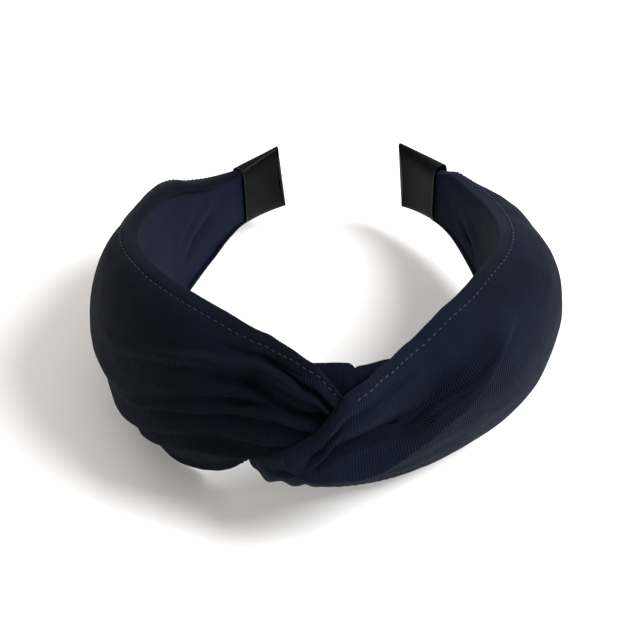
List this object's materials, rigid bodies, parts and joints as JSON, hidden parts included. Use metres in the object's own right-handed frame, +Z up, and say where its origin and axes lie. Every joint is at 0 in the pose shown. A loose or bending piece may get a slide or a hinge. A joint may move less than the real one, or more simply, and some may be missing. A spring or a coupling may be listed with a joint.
{
  "type": "knotted headband",
  "caption": "Wide jersey-covered hair band: a springy open hoop in a pleated ribbed cover crossed in a knot at the front, with flat black sleeves on the tips.",
  "frame": {"origin": "centre of the base of the bounding box, the band lying on its lower edges", "axes": "+Z up across the band's width, -Y towards the knot, +Y towards the open tips, +X to the wearer's side that is on the right when the knot faces the viewer"},
  "size_m": [0.1471, 0.158, 0.0626],
  "materials": {
    "left_jersey": "fine ribbed jersey, soft sheen",
    "right_jersey": "fine ribbed jersey, soft sheen",
    "lining_jersey": "smooth knit",
    "stitch_thread": "polyester thread",
    "sleeve_black": "satin shrunk sleeve",
    "strip_plastic": "moulded"
  },
  "bodies": {
    "crown": {"hoop_crown": "strip_plastic", "right_knot_loop": "right_jersey", "left_knot_loop": "left_jersey", "knot_wrap": "left_jersey"},
    "left_arm": {"hoop_left_arm": "strip_plastic", "left_end_cap": "sleeve_black", "left_panel": "left_jersey", "left_lining": "lining_jersey", "left_upper_stitching": "stitch_thread", "left_lower_stitching": "stitch_thread"},
    "right_arm": {"hoop_right_arm": "strip_plastic", "right_end_cap": "sleeve_black", "right_panel": "right_jersey", "right_lining": "lining_jersey", "right_upper_stitching": "stitch_thread", "right_lower_stitching": "stitch_thread"}
  },
  "joints": [
    {"name": "left_arm_flex", "type": "hinge", "parent": "crown", "child": "left_arm", "pos_m": [-0.04172, -0.04664, 0.0255], "axis": [0, 0, 1], "range_deg": [-8, 24], "stiffness_Nm_per_rad": 1.1, "deforming": ["left_panel", "left_lining", "left_upper_stitching", "left_lower_stitching"]},
    {"name": "right_arm_flex", "type": "hinge", "parent": "crown", "child": "right_arm", "pos_m": [0.04172, -0.04664, 0.0255], "axis": [0, 0, -1], "range_deg": [-8, 24], "stiffness_Nm_per_rad": 1.1, "deforming": ["right_panel", "right_lining", "right_upper_stitching", "right_lower_stitching"]}
  ]
}
